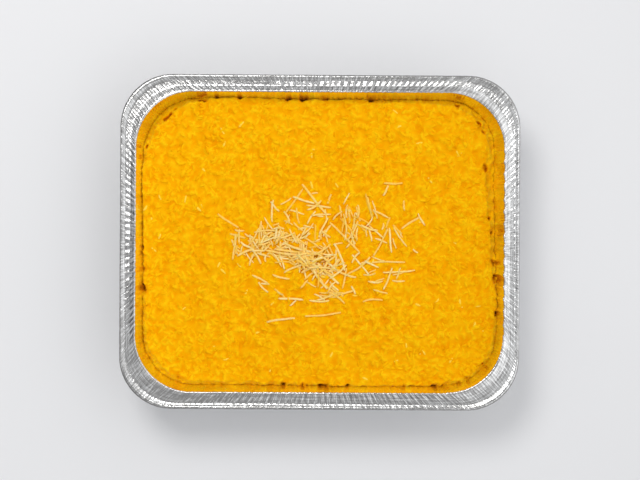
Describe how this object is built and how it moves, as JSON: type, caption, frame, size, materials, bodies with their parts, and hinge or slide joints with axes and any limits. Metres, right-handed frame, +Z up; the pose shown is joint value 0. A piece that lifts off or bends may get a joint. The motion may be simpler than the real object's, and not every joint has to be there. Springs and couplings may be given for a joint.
{
  "type": "foil tray meal",
  "caption": "Deep foil tray with rounded corners and a rolled rim, filled with creamy yellow rice under a scatter of shredded hard cheese.",
  "frame": {"origin": "centre of the tray's flat underside", "axes": "+X along the tray's length, +Y along its width, +Z up out of its mouth"},
  "size_m": [0.32, 0.268, 0.064],
  "materials": {
    "foil": "bright, creased",
    "rice": "moist",
    "cheese": "dull"
  },
  "bodies": {
    "root": {"foil_tray": "foil", "rice": "rice", "cheese_shreds": "cheese"}
  },
  "joints": []
}
